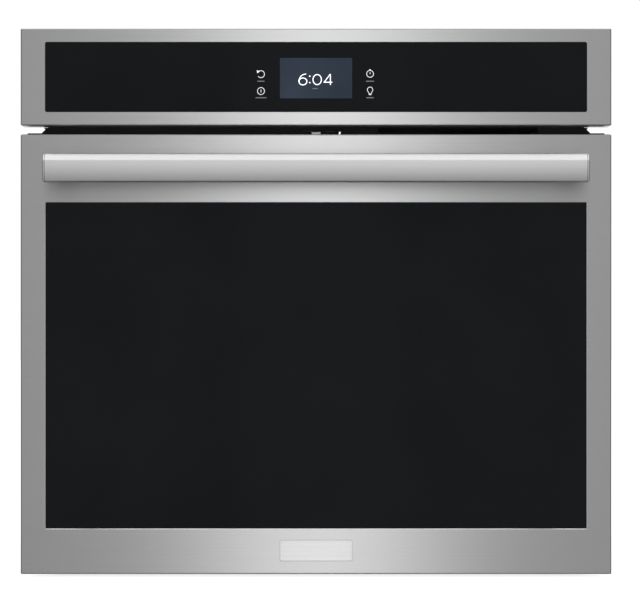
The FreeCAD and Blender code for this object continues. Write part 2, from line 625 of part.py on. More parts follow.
def base_pan():
    """The floor of the chassis on two hollow rails that the oven rests on."""
    piece = Piece("base_pan")
    front = depth("door_depth + base_front")
    piece.add("XY", "rail_tall", BASE_TOP, rect(f"-{INNER_HALF}", front, INNER_HALF, REAR))
    for side in (-1, 1):
        left, right = between(side, f"{INNER_HALF} - rail_wide", INNER_HALF)
        piece.add("XY", "0", "rail_tall", rect(left, front, right, REAR))
        piece.cut("XY", "sheet_thick", "rail_tall",
                  rect(f"{left} + sheet_thick", front, f"{right} - sheet_thick", REAR))


def screw_rows():
    """The heights of the screws down each side of the front frame."""
    low, high = "(frame_low + rail_wide)", f"({BODY_TOP} - rail_wide)"
    return [f"({low} + {number}*({high} - {low})/(screw_count - 1))"
            for number in range(int(value("screw_count")))]


SCREW_Y = depth("door_depth + screw_back")


def side_panel(name, side):
    """One side of the chassis, with its cooling louvres and screw holes."""
    piece = Piece(f"{name}_side_panel")
    across = between(side, INNER_HALF, BODY_HALF)
    piece.add("YZ", *across, rect(depth("door_depth + base_front"), "0", REAR, BODY_TOP))
    slots = []
    for number in range(int(value("louvre_count"))):
        low = f"({SHIELD} + rail_wide + {number}*louvre_step)"
        back = f"({REAR} - rail_wide)"
        slots.append(rect(f"{back} - louvre_long", low, back, f"{low} + louvre_tall"))
    piece.cut("YZ", *across, *slots)
    piece.cut("YZ", *across, *[disc(SCREW_Y, row, "screw_radius + slack") for row in screw_rows()])


def chassis_screws():
    """The pan-head screws that hold the side panels to the front frame."""
    piece = Piece("chassis_screws", group=True)
    for side in (-1, 1):
        shanks = [disc(SCREW_Y, row, "screw_radius") for row in screw_rows()]
        heads = [disc(SCREW_Y, row, "screw_head") for row in screw_rows()]
        piece.add("YZ", *between(side, f"{BODY_HALF} - screw_grip", BODY_HALF), *shanks)
        piece.add("YZ", *between(side, BODY_HALF, f"{BODY_HALF} + screw_head_thick"), *heads)


def rear_panel():
    """The rear cover, with louvres and the hole for the conduit gland."""
    piece = Piece("rear_panel")
    start = f"{REAR} - sheet_thick"
    piece.add("XZ", start, REAR,
              rect(f"-{INNER_HALF}", BASE_TOP, INNER_HALF, f"{BODY_TOP} - sheet_thick"))
    slots = []
    for number in range(int(value("louvre_count"))):
        low = f"({SHIELD} + rail_wide + {number}*louvre_step)"
        for column in (-1, 0, 1, 2):
            left = f"({column}*(louvre_long + rail_wide) - louvre_long)"
            slots.append(rect(left, low, f"{left} + louvre_long", f"{low} + louvre_tall"))
    piece.cut("XZ", start, REAR, *slots)
    piece.cut("XZ", start, REAR, disc("-gland_left", GLAND_UP, "gland_radius + slack"))


def top_panel():
    """The top cover, with rows of louvres over the electronics."""
    piece = Piece("top_panel")
    low = f"{BODY_TOP} - sheet_thick"
    piece.add("XY", low, BODY_TOP, rect(f"-{INNER_HALF}", FACE, INNER_HALF, REAR))
    slots = []
    for number in range(int(value("louvre_count"))):
        start = f"({REAR} - rail_wide - {number + 1}*louvre_step)"
        for column in (-2, -1, 0, 1):
            left = f"({column}*(louvre_long + rail_wide))"
            slots.append(rect(left, start, f"{left} + louvre_long", f"{start} + louvre_tall"))
    piece.cut("XY", low, BODY_TOP, *slots)


def front_frame():
    """The black frame round the cavity mouth, seen in the gap over the door."""
    piece = Piece("front_frame")
    top = f"({BODY_TOP} - sheet_thick)"
    piece.add("XZ", FACE, FRAME_BACK, rect(f"-{INNER_HALF}", "frame_low", INNER_HALF, top))
    for side in (-1, 1):
        left, right = between(side, f"{INNER_HALF} - frame_thick", INNER_HALF)
        piece.add("XZ", FRAME_BACK, depth("door_depth + frame_fold"),
                  rect(left, "frame_low", right, top))
    mouth = f"{CAVITY_HALF} - frame_lap"
    piece.cut("XZ", FACE, FRAME_BACK,
              rounded(f"-({mouth})", "cavity_low + frame_lap", mouth, f"{CAVITY_TOP} - frame_lap",
                      "opening_round"))
    piece.cut("XZ", FACE, FRAME_BACK,
              rect("-2*latch_slot", f"{LATCH_LOW} - latch_above", "latch_swing",
                   f"{LATCH_LOW} + latch_thick + latch_above"))
    piece.cut("XZ", FACE, FRAME_BACK,
              rect("blower_left + sheet_thick", f"{DUCT_LOW} + sheet_thick",
                   "blower_right - sheet_thick", f"{DUCT_LOW} + duct_tall - sheet_thick"))
    piece.cut("XZ", FACE, FRAME_BACK, disc("-switch_left", SWITCH_UP, "plunger_radius + slack"))
    piece.cut("XZ", FACE, FRAME_BACK,
              rect("-board_window/2", f"{PANEL_LOW} + rail_wide", "board_window/2", f"{top} - rail_wide"))
    piece.cut("YZ", f"-{INNER_HALF}", INNER_HALF,
              *[disc(SCREW_Y, row, "screw_radius + slack") for row in screw_rows()])


def side_trim(name, side):
    """The flange that laps the cabinet front, with its mounting holes."""
    piece = Piece(f"{name}_side_trim")
    low, high = "frame_low", f"({DOOR_TOP} + flange_above)"
    outer = "(width/2 - flange_inset)"
    shoulder, neck = f"({BODY_HALF} + tab_out)", f"({BODY_HALF} + tab_neck)"
    neck_up, tab_high = f"({PANEL_LOW} - tab_neck_drop)", f"({PANEL_LOW} - slack)"
    edge = [(INNER_HALF, low), (outer, low), (outer, high), (shoulder, high), (neck, neck_up),
            (f"({BODY_HALF} + tab_top)", tab_high), (INNER_HALF, tab_high)]
    front = f"{FACE} - frame_thick"
    piece.add("XZ", front, FACE, outline([(f"{side}*{x}", z) for x, z in edge]))
    left, right = between(side, INNER_HALF, BODY_HALF)
    piece.add("XZ", FACE, depth("door_depth + base_front - slack"), rect(left, low, right, tab_high))
    middle = f"{side}*({BODY_HALF} + {outer})/2"
    rows = ("flange_hole_low", f"{DOOR_TOP} - flange_hole_low + frame_low")
    piece.cut("XZ", front, FACE, *[disc(middle, row, "flange_hole") for row in rows])


def heat_shield():
    """The floor of the top compartment."""
    piece = Piece("heat_shield")
    half = f"({INNER_HALF} - frame_thick)"
    piece.add("XY", SHIELD, f"{SHIELD} + sheet_thick",
              rect(f"-{half}", FRAME_BACK, half, f"{REAR} - sheet_thick"))


# ---------------------------------------------------------------- cavity

def cavity_holes():
    """What passes through the rear wall of the cavity: centre and radius of each hole."""
    bake_up, broil_up = "(cavity_low + element_up)", f"({CAVITY_TOP} - broil_down)"
    tails = [("bake_tail", bake_up), ("broil_tail", broil_up)]
    holes = [(f"{side}*{x}", z, "element_hole") for x, z in tails for side in (-1, 1)]
    holes += [(x, z, "element_hole") for x, z in ring_ends()]
    holes.append(("0", "fan_up", "element_hole + shaft"))
    holes.append(("-lamp_left", LAMP_UP, "lamp_hole"))
    holes.append(("probe_right", PROBE_UP, "probe_radius + slack"))
    return holes


def ring_ends():
    """Where the two ends of the fan's ring element go through the rear wall."""
    turn = "(ring_gap*1 deg)"
    return [("ring_radius", "fan_up"), (f"ring_radius*cos({turn})", f"fan_up + ring_radius*sin({turn})")]


def oven_liner():
    """The enamelled cavity: a box open to the front."""
    piece = Piece("oven_liner")
    piece.add("XZ", FRAME_BACK, depth(CAVITY_REAR),
              rect(f"-{CAVITY_HALF}", "cavity_low", CAVITY_HALF, CAVITY_TOP))
    piece.soften("opening_round", lambda edge: runs_along(edge, "Y"))
    piece.cut("XZ", FRAME_BACK, depth(CAVITY_BACK),
              rounded(f"-{CAVITY_HALF} + cavity_wall", "cavity_low + cavity_wall",
                      f"{CAVITY_HALF} - cavity_wall", f"{CAVITY_TOP} - cavity_wall",
                      "opening_round - cavity_wall"))
    piece.cut("XZ", depth(CAVITY_BACK), depth(CAVITY_REAR), *[disc(*hole) for hole in cavity_holes()])


def insulation_blanket():
    """Mineral wool wrapped round the cavity."""
    piece = Piece("insulation_blanket")
    front, back = depth("door_depth + frame_thick + wool_behind"), depth(CAVITY_REAR)
    inner, outer = "wool_gap", "(wool_gap + wool_thick)"
    loops = [rounded(f"-{CAVITY_HALF} - {out}", f"cavity_low - {out}", f"{CAVITY_HALF} + {out}",
                     f"{CAVITY_TOP} + {out}", f"opening_round + {out}") for out in (outer, inner)]
    piece.add("XZ", front, back, *loops)


def door_gasket():
    """The woven seal round the cavity mouth."""
    piece = Piece("door_gasket")
    out = "(gasket_out - frame_lap)"
    middle = depth("door_depth - slack - gasket_radius")
    left, low = f"(-{CAVITY_HALF} - {out})", f"(cavity_low - {out})"
    right, high = f"({CAVITY_HALF} + {out})", f"({CAVITY_TOP} + {out})"
    path = piece.sketch("XZ", middle, [rounded(left, low, right, high, "gasket_round")])
    ring = piece.sketch("YZ", f"{left} + gasket_round", [disc(middle, low, "gasket_radius")])
    piece.sweep(path, ring)


def rack_rails():
    """The heights of the rails that racks slide on."""
    drop = "(2*wire_radius + slack)"
    return [f"(rack_first - rail_step + {number}*rail_step - {drop})"
            for number in range(int(value("rail_count")))]


def rack_support(name, side):
    """The wire ladder that holds the racks at one side of the cavity."""
    piece = Piece(f"{name}_rack_support")
    wall = f"({CAVITY_HALF} - cavity_wall)"
    upright = f"{side}*({wall} - wire_radius - slack)"
    rail = f"{side}*({wall} - 2*wire_radius - rail_inset - slack)"
    places = ("ladder_front", "ladder_rear")
    posts = [disc(upright, depth(place), "wire_radius") for place in places]
    piece.add("XY", "cavity_low + ladder_up", f"{rack_rails()[-1]} + ladder_up", *posts)
    piece.add("XZ", depth("rail_front"), depth("rail_rear"),
              *[disc(rail, height, "wire_radius") for height in rack_rails()])
    heights = (f"{rack_rails()[0]} + foot_up", f"{rack_rails()[-1]} + foot_up")
    feet = [disc(depth(place), height, "wire_radius - slack") for place in places for height in heights]
    piece.add("YZ", *between(side, f"{wall} - wire_radius - slack", wall), *feet)


def rack(label, number):
    """One sliding wire rack: a frame, a grid and two stiffeners under it."""
    piece = Piece(label)
    height = f"(rack_first + {number}*rack_step)"
    half = f"({CAVITY_HALF} - cavity_wall - 4*wire_radius + slack)"
    front, back = depth("rack_front + wire_radius"), depth("rack_front + rack_deep - wire_radius")
    path = piece.sketch("XY", height, [rounded(f"-{half}", front, half, back, "rack_round")])
    ring = piece.sketch("YZ", f"-{half} + rack_round", [disc(front, height, "wire_radius")])
    piece.sweep(path, ring)
    count = int(value("grid_count"))
    pitch = f"(2*({half} - rack_round)/{count - 1})"
    level = f"{height} + wire_radius - grid_radius"
    wires = [disc(f"-{half} + rack_round + {place}*{pitch}", level, "grid_radius")
             for place in range(count)]
    piece.add("XZ", front, back, *wires)
    places = ("rack_front + rack_bar_step", "rack_front + 2*rack_bar_step")
    bars = [disc(depth(place), height, "wire_radius - slack") for place in places]
    piece.add("YZ", f"-{half}", half, *bars)


def sheathed_element(label, height, tail, points):
    """A heating element: a bent rod whose two tails pass through a plate at the rear wall."""
    piece = Piece(label)
    end = depth(f"{CAVITY_REAR} + element_tail")
    left = [(f"-{tail}", end)] + points
    right = [(f"-({x})", y) for x, y in reversed(left)]
    path = piece.sketch("XY", height, [route(left + right, "element_bend")])
    rod = piece.sketch("XZ", end, [disc(f"-{tail}", height, "element_radius")])
    piece.sweep(path, rod)
    piece.add("XZ", depth(f"{CAVITY_BACK} - plate_thick"), depth(CAVITY_BACK),
              rect(f"-{tail} - element_plate", f"{height} - element_plate",
                   f"{tail} + element_plate", f"{height} + element_plate"))


def elements():
    """The bake element over the floor, the broil element under the roof and the fan's ring."""
    outer = f"-({CAVITY_HALF} - element_side)"
    back = depth(f"{CAVITY_BACK} - element_back")
    front = depth("door_depth + frame_thick + element_front")
    sheathed_element("bake_element", "(cavity_low + element_up)", "bake_tail",
                     [("-bake_tail", back), (outer, back), (outer, front)])
    inner_back = f"{back} - element_back"
    sheathed_element("broil_element", f"({CAVITY_TOP} - broil_down)", "broil_tail",
                     [("-broil_tail", back), (outer, back), (outer, front),
                      ("-broil_inner", front), ("-broil_inner", inner_back)])

    ring = Piece("convection_element")
    hoop = ring.body.newObject("PartDesign::Revolution", "hoop")
    hoop.Profile = ring.sketch("XY", "0", [disc("ring_radius", "0", "ring_wire")])
    hoop.ReferenceAxis = (ring.origin("Y_Axis"), [""])
    hoop.setExpression("Angle", bound("360 - ring_gap"))
    ring.body.Tip = hoop
    doc.recompute()
    legs = [disc(x, f"{z} - fan_up", "ring_wire") for x, z in ring_ends()]
    ring.add("XZ", "0", f"{CAVITY_REAR} + element_tail - {RING_AT}", *legs)
    ring.place(y=depth(RING_AT), z="fan_up")
    doc.recompute()


def convection():
    """The fan in the rear wall, with its shaft, its cover and its motor."""
    fan = Piece("convection_fan")
    fan.add("XZ", "fan_deep - plate_thick", "fan_deep", disc("0", "0", "fan_radius"))
    fan.add("XZ", "0", "fan_deep", disc("0", "0", "fan_hub"))
    blade = fan.add("XZ", "0", "fan_deep",
                    outline([("blade_root", "-plate_thick/2"),
                             ("fan_radius", "blade_sweep - plate_thick/2"),
                             ("fan_radius", "blade_sweep + plate_thick/2"),
                             ("blade_root", "plate_thick/2")]))
    fan.around(blade, "Y_Axis", "blade_count")
    fan.add("XZ", "0", "shaft_long", disc("0", "0", "shaft"))
    fan.place(y=depth(FAN_FRONT), z="fan_up")
    doc.recompute()

    cover = Piece("fan_cover")
    front, back = depth(f"{CAVITY_BACK} - cover_deep"), depth(CAVITY_BACK)
    cover.add("XZ", front, back,
              rounded("-cover_half", "fan_up - cover_tall_half",
                      "cover_half", "fan_up + cover_tall_half", "rack_round"))
    cover.cut("XZ", f"{front} + cavity_wall", back,
              rounded("-cover_half + cavity_wall", "fan_up - cover_tall_half + cavity_wall",
                      "cover_half - cavity_wall", "fan_up + cover_tall_half - cavity_wall",
                      "rack_round - cavity_wall"))
    slots = []
    for number in range(-5, 6):
        middle = f"({number}*cover_slot_step)"
        slots.append(rect(f"{middle} - cover_slot/2", "fan_up - cover_slot_half",
                          f"{middle} + cover_slot/2", "fan_up + cover_slot_half"))
    for side in (-1, 1):
        for row in range(-4, 5):
            left, right = between(side, "ring_radius - cover_vent_half", "ring_radius + cover_vent_half")
            middle = f"(fan_up + {row}*cover_vent_step)"
            slots.append(rect(left, f"{middle} - cover_slot", right, f"{middle} + cover_slot"))
    cover.cut("XZ", front, f"{front} + cavity_wall", *slots)

    motor = Piece("convection_motor")
    start = CAVITY_REAR
    flange = f"{start} + 2*cavity_wall"
    neck = f"{flange} + 2*cavity_wall"
    motor.add("XZ", depth(start), depth(flange), disc("0", "fan_up", "motor_flange"))
    motor.add("XZ", depth(flange), depth(neck), disc("0", "fan_up", "motor_neck"))
    motor.add("XZ", depth(neck), depth(f"{start} + motor_long"), disc("0", "fan_up", "motor_radius"))
    motor.cut("XZ", depth(start), depth(f"{FAN_FRONT} + shaft_long + shaft_end"),
              disc("0", "fan_up", "shaft + running_fit"))
    motor.soften("shaft", lambda edge: flat(edge, "Y", depth(f"{start} + motor_long")))


def lamp_and_probe():
    """The oven lamp in the rear wall, and the temperature probe."""
    middle = ("-lamp_left", LAMP_UP)
    lens = Piece("lamp_lens")
    front = f"{CAVITY_BACK} - lens_deep"
    lens.add("XZ", depth(front), depth(CAVITY_BACK), disc(*middle, "lens_radius"))
    lens.soften("lens_wall", lambda edge: flat(edge, "Y", depth(front)))
    lens.cut("XZ", depth(f"{front} + lens_wall"), depth(CAVITY_BACK),
             disc(*middle, "lens_radius - lens_wall"))

    housing = Piece("lamp_housing")
    back = f"{CAVITY_REAR} + housing_deep"
    housing.add("XZ", depth(CAVITY_REAR), depth(back), disc(*middle, "lens_radius"))
    housing.cut("XZ", depth(CAVITY_REAR), depth(f"{back} - housing_wall"),
                disc(*middle, "lens_radius - housing_wall"))
    housing.add("XZ", depth(f"{BULB_FRONT} + bulb_long"), depth(f"{back} - housing_wall"),
                disc(*middle, "socket_radius"))

    bulb = Piece("lamp_bulb")
    bulb.add("XZ", depth(BULB_FRONT), depth(f"{BULB_FRONT} + bulb_long"), disc(*middle, "bulb_radius"))
    bulb.soften("bulb_round", lambda edge: flat(edge, "Y", depth(BULB_FRONT)))

    probe = Piece("temperature_probe")
    probe.add("XZ", depth(f"{CAVITY_BACK} - plate_thick"), depth(CAVITY_BACK),
              rect("probe_right - probe_plate", f"{PROBE_UP} - probe_plate/2",
                   "probe_right + probe_plate", f"{PROBE_UP} + probe_plate/2"))
    probe.add("XZ", depth(f"{CAVITY_BACK} - probe_long"), depth(f"{CAVITY_REAR} + probe_tail"),
              disc("probe_right", PROBE_UP, "probe_radius"))


# ---------------------------------------------------------------- top compartment

DUCT_LOW = f"({DOOR_TOP} + duct_above)"
BLOWER_UP = f"({DUCT_LOW} + duct_tall/2 + blower_radius)"
GLAND_UP = f"({BODY_TOP} - gland_drop)"


def blower():
    """The cooling blower: its scroll and outlet duct, its wheel and its motor."""
    housing = Piece("blower_housing")
    centre = (depth("blower_deep"), BLOWER_UP)
    high = f"({DUCT_LOW} + duct_tall)"
    left, right = "blower_left", "blower_right"
    inner_left, inner_right = "blower_left + sheet_thick", "blower_right - sheet_thick"
    housing.add("YZ", left, right, disc(*centre, "blower_radius"))
    housing.add("YZ", left, right, rect(FRAME_BACK, DUCT_LOW, centre[0], high))
    housing.cut("YZ", inner_left, inner_right, disc(*centre, "blower_radius - sheet_thick"))
    housing.cut("YZ", inner_left, inner_right,
                rect(FRAME_BACK, f"{DUCT_LOW} + sheet_thick", centre[0], f"{high} - sheet_thick"))
    housing.cut("YZ", left, inner_left, disc(*centre, "intake_radius"))
    housing.cut("YZ", inner_right, right, disc(*centre, "blower_hole"))
    housing.add("YZ", left, right, rect(f"{centre[0]} - sheet_thick", f"{SHIELD} + sheet_thick",
                                        f"{centre[0]} + blower_foot", f"{DUCT_LOW} + sheet_thick"))

    wheel = Piece("blower_wheel")
    long = "(blower_right - blower_left - 2*wheel_gap)"
    wheel.add("YZ", "0", "sheet_thick", disc("0", "0", "wheel_radius"), disc("0", "0", "intake_radius"))
    wheel.add("YZ", f"{long} - sheet_thick", long, disc("0", "0", "wheel_radius"))
    vane = wheel.add("YZ", "0", long,
                     outline([("vane_root", "-sheet_thick/2"), ("vane_tip", "vane_lean - sheet_thick/2"),
                              ("vane_tip", "vane_lean + sheet_thick/2"), ("vane_root", "sheet_thick/2")]))
    wheel.around(vane, "X_Axis", "vane_count")
    reach = f"{long} + wheel_gap + blower_motor_gap + blower_motor_long/2"
    wheel.add("YZ", f"{long} - sheet_thick", reach, disc("0", "0", "shaft"))
    wheel.place(x="blower_left + wheel_gap", y=centre[0], z=centre[1])
    doc.recompute()

    motor = Piece("blower_motor")
    start = "(blower_right + blower_motor_gap)"
    motor.add("YZ", start, f"{start} + blower_motor_long", disc(*centre, "blower_motor_radius"))
    motor.add("YZ", start, f"{start} + blower_motor_long",
              rect(f"{centre[0]} - blower_foot", f"{SHIELD} + sheet_thick",
                   f"{centre[0]} + blower_foot", f"{centre[1]} - blower_foot"))
    motor.cut("YZ", start, f"{start} + blower_motor_long/2 + shaft_end",
              disc(*centre, "shaft + running_fit"))


def conduit_gland():
    """The threaded gland that the supply conduit leaves by."""
    piece = Piece("conduit_gland")
    centre = ("-gland_left", GLAND_UP)
    inside = f"{REAR} - sheet_thick - gland_nut"
    piece.add("XZ", inside, f"{REAR} - sheet_thick", disc(*centre, "gland_flange"))
    piece.add("XZ", f"{REAR} - sheet_thick", f"{REAR} + gland_reach", disc(*centre, "gland_radius"))
    piece.add("XZ", REAR, f"{REAR} + gland_nut", disc(*centre, "gland_flange"))
    piece.cut("XZ", inside, f"{REAR} + gland_reach", disc(*centre, "gland_bore"))


# ---------------------------------------------------------------- latch and door switch

def latch():
    """The hook that locks the door for cleaning, and the motor that swings it."""
    pivot = ("0", depth(LATCH_PIVOT))
    high = f"({LATCH_LOW} + latch_thick)"
    hook = Piece("latch_hook")
    hook.add("XY", LATCH_LOW, high, disc(*pivot, "latch_eye"))
    hook.add("XY", LATCH_LOW, high, rect("-latch_wide/2", depth("lug_front"), "latch_wide/2", pivot[1]))
    hook.add("XY", f"{DOOR_TOP} - lug_drop", LATCH_LOW,
             rect("-lug_half", depth("lug_front"), "lug_half", depth("lug_front + lug_deep")))
    hook.cut("XY", LATCH_LOW, high, disc(*pivot, "latch_pin + running_fit"))

    motor = Piece("latch_motor")
    base = f"({high} + latch_above)"
    floor = f"({SHIELD} + sheet_thick)"
    rear = f"{LATCH_PIVOT} + latch_motor_half"
    motor.add("XY", base, f"{base} + latch_motor_tall",
              rounded("-latch_motor_half", depth(f"{LATCH_PIVOT} - latch_motor_half"), "latch_motor_half",
                      depth(rear), "latch_pin"))
    motor.add("XY", floor, base,
              rect("-latch_motor_half", depth(f"{rear} - latch_eye"), "latch_motor_half", depth(rear)))
    motor.add("XY", f"{LATCH_LOW} - latch_above/2", base, disc(*pivot, "latch_pin"))


def door_switch():
    """The switch that senses the door, and its sliding plunger."""
    centre = ("-switch_left", SWITCH_UP)
    housing = Piece("door_switch")
    back = "door_depth + frame_thick + switch_deep"
    housing.add("XZ", FRAME_BACK, depth(back),
                rect("-switch_left - switch_half", f"{SWITCH_UP} - switch_half",
                     "-switch_left + switch_half", f"{SWITCH_UP} + switch_half"))
    housing.cut("XZ", FRAME_BACK, depth(f"{back} - plate_thick"),
                disc(*centre, "plunger_radius + running_fit"))
    plunger = Piece("switch_plunger")
    front = f"{LINER_REAR} + plunger_gap"
    plunger.add("XZ", depth(front), depth(f"{front} + plunger_long"), disc(*centre, "plunger_radius"))
    plunger.soften("plunger_radius/2", lambda edge: flat(edge, "Y", depth(front)))


# ---------------------------------------------------------------- the whole oven

def build():
    """Makes every sub-part."""
    door_skin()
    door_glass()
    pane_frame()
    door_liner()
    door_top_trim()
    handle()
    badge_plate()
    for name, side in (("left", -1), ("right", 1)):
        hinge(name, side)
        side_panel(name, side)
        side_trim(name, side)
        rack_support(name, side)
    control_panel()
    base_pan()
    rear_panel()
    top_panel()
    front_frame()
    heat_shield()
    chassis_screws()
    oven_liner()
    insulation_blanket()
    door_gasket()
    for number, label in enumerate(("lower_rack", "middle_rack", "upper_rack")):
        rack(label, number)
    elements()
    convection()
    lamp_and_probe()
    blower()
    conduit_gland()
    latch()
    door_switch()


def check():
    """Stops the build if any object failed or any shape is missing or not sound."""
    for item in doc.Objects:
        if any(word in item.State for word in ("Invalid", "Error")):
            raise ValueError(f"{item.Label} did not build: {item.State}")
    for body, group in pieces:
        if body.Shape.isNull() or not body.Shape.isValid() or not body.Shape.Solids:
            raise ValueError(f"{body.Label} is not a sound solid")
        if len(body.Shape.Solids) > 1 and not group:
            raise ValueError(f"{body.Label} is in {len(body.Shape.Solids)} separate solids")


build()
doc.recompute()
check()
os.makedirs("parts", exist_ok=True)
for body, group in pieces:
    body.Shape.exportStep(f"parts/{body.Label}.step")
    print(body.Label, len(body.Shape.Solids), round(body.Shape.Volume))
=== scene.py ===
import json
import math
import bmesh
import bpy
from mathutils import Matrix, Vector


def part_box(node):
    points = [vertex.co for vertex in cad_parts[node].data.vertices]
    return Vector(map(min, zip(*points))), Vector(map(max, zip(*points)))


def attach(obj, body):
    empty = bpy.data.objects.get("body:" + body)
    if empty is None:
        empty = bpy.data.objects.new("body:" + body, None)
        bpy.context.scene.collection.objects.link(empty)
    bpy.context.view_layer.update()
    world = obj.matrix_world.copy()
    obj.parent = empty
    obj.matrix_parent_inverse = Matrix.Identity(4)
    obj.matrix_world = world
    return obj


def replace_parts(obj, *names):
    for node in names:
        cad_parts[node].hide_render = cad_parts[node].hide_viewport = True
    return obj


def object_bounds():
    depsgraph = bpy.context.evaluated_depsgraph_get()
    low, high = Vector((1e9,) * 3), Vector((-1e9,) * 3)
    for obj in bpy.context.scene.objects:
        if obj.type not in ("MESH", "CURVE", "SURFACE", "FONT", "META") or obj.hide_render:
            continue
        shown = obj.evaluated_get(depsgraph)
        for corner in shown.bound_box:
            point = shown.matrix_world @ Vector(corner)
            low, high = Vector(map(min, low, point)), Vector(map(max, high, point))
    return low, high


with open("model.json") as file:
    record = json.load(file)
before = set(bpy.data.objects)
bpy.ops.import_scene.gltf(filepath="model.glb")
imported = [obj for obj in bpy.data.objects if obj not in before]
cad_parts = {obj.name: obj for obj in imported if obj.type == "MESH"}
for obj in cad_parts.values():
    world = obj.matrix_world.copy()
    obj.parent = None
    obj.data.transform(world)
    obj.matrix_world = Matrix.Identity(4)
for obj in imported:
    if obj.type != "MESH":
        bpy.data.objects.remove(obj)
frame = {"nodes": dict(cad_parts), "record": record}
cad_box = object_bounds()
MM = 0.001
SHARP_ANGLE = math.radians(32)
CRUMB = 0.01 * MM


# ---------------------------------------------------------------- materials

class Shade:
    """A procedural material on object coordinates, which are the oven's own at rest."""

    def __init__(self, name, **uniform):
        self.material = bpy.data.materials.new(name)
        self.material.use_nodes = True
        self.tree = self.material.node_tree
        self.shader = self.tree.nodes["Principled BSDF"]
        for socket, number in uniform.items():
            self.shader.inputs[socket.replace("_", " ")].default_value = number
        self.place = self.tree.nodes.new("ShaderNodeTexCoord").outputs["Object"]

    def node(self, kind, **settings):
        """A node of a kind, with its own settings."""
        node = self.tree.nodes.new(f"ShaderNode{kind}")
        for name, setting in settings.items():
            setattr(node, name, setting)
        return node

    def join(self, output, target):
        """A link from an output to an input."""
        self.tree.links.new(output, target)

    def stretched(self, scale):
        """The place, scaled along each axis."""
        mapping = self.node("Mapping")
        mapping.inputs["Scale"].default_value = scale
        self.join(self.place, mapping.inputs["Vector"])
        return mapping.outputs["Vector"]

    def noise(self, scale, detail=3.0, roughness=0.55):
        """Noise of so many grains a metre along each axis."""
        noise = self.node("TexNoise")
        noise.inputs["Scale"].default_value = 1.0
        noise.inputs["Detail"].default_value = detail
        noise.inputs["Roughness"].default_value = roughness
        self.join(self.stretched(scale), noise.inputs["Vector"])
        return noise.outputs["Fac"]

    def cells(self, scale, feature="F1"):
        """Voronoi cells of so many a metre along each axis."""
        cells = self.node("TexVoronoi", feature=feature)
        cells.inputs["Scale"].default_value = 1.0
        self.join(self.stretched(scale), cells.inputs["Vector"])
        return cells.outputs

    def spread(self, source, low, high, start=0.3, end=0.7):
        """A number that runs from low to high as the source runs from start to end."""
        spread = self.node("MapRange")
        for name, number in (("From Min", start), ("From Max", end), ("To Min", low), ("To Max", high)):
            spread.inputs[name].default_value = number
        self.join(source, spread.inputs["Value"])
        return spread.outputs["Result"]

    def tint(self, source, dark, light, start=0.3, end=0.7):
        """Base colour from dark to light along the source."""
        ramp = self.node("ValToRGB")
        ramp.color_ramp.elements[0].position = start
        ramp.color_ramp.elements[0].color = (*dark, 1)
        ramp.color_ramp.elements[1].position = end
        ramp.color_ramp.elements[1].color = (*light, 1)
        self.join(source, ramp.inputs["Fac"])
        self.join(ramp.outputs["Color"], self.shader.inputs["Base Color"])
        return ramp.outputs["Color"]

    def rough(self, source, low, high, start=0.3, end=0.7):
        """Roughness from low to high along the source."""
        self.join(self.spread(source, low, high, start, end), self.shader.inputs["Roughness"])

    def bump(self, source, strength, distance):
        """Relief of a given height in metres."""
        bump = self.node("Bump")
        bump.inputs["Strength"].default_value = strength
        bump.inputs["Distance"].default_value = distance
        self.join(source, bump.inputs["Height"])
        self.join(bump.outputs["Normal"], self.shader.inputs["Normal"])


def brushed(name, dark, light, low, high, grain=(3, 2000, 2000), anisotropic=0.85):
    """Metal brushed along X: reflections are drawn out across the scratches, and folds get painted shade,
    a darker base colour.
    """
    shade = Shade(name, Metallic=1.0, Anisotropic=anisotropic, Anisotropic_Rotation=0.25)
    scratches = shade.noise(grain, detail=4.0, roughness=0.7)
    tint = shade.tint(scratches, dark, light)
    facing = shade.node("SeparateXYZ")
    shade.join(shade.node("TexCoord").outputs["Normal"], facing.inputs["Vector"])
    turned = shade.node("Math", operation="ABSOLUTE")
    shade.join(facing.outputs["X"], turned.inputs[0])
    # painted shade on folds: faces turned partly towards X, as on a bent edge, get a base colour of 0.3
    # times the dark tone
    into = shade.spread(turned.outputs["Value"], 0.0, 1.0, 0.2, 0.5)
    out = shade.spread(turned.outputs["Value"], 1.0, 0.0, 0.93, 0.99)
    fold_painted_shade = shade.node("Math", operation="MULTIPLY")
    shade.join(into, fold_painted_shade.inputs[0])
    shade.join(out, fold_painted_shade.inputs[1])
    painted_shade_mix = shade.node("Mix", data_type="RGBA")
    painted_shade_mix.inputs["B"].default_value = (*(part * 0.3 for part in dark), 1)
    shade.join(fold_painted_shade.outputs["Value"], painted_shade_mix.inputs["Factor"])
    shade.join(tint, painted_shade_mix.inputs["A"])
    shade.join(painted_shade_mix.outputs["Result"], shade.shader.inputs["Base Color"])
    shade.rough(scratches, low, high)
    shade.bump(scratches, 0.12, 0.00003)
    along = shade.node("CombineXYZ")
    along.inputs["X"].default_value = 1.0
    shade.join(along.outputs["Vector"], shade.shader.inputs["Tangent"])
    return shade.material


def galvanised():
    """Zinc-coated sheet with a faint spangle."""
    shade = Shade("galvanised", Metallic=1.0)
    spangle = shade.cells((90, 90, 90))["Color"]
    shade.tint(spangle, (0.42, 0.44, 0.45), (0.58, 0.60, 0.61), 0.1, 0.9)
    shade.rough(spangle, 0.34, 0.55, 0.1, 0.9)
    shade.bump(shade.noise((400, 400, 400)), 0.08, 0.0001)
    return shade.material


def black_paint():
    """Satin black with a slight orange peel."""
    shade = Shade("black_paint", Specular_IOR_Level=0.3)
    peel = shade.noise((350, 350, 350))
    shade.tint(shade.noise((12, 12, 12)), (0.010, 0.010, 0.012), (0.017, 0.017, 0.019))
    shade.rough(peel, 0.42, 0.60)
    shade.bump(peel, 0.25, 0.0002)
    return shade.material


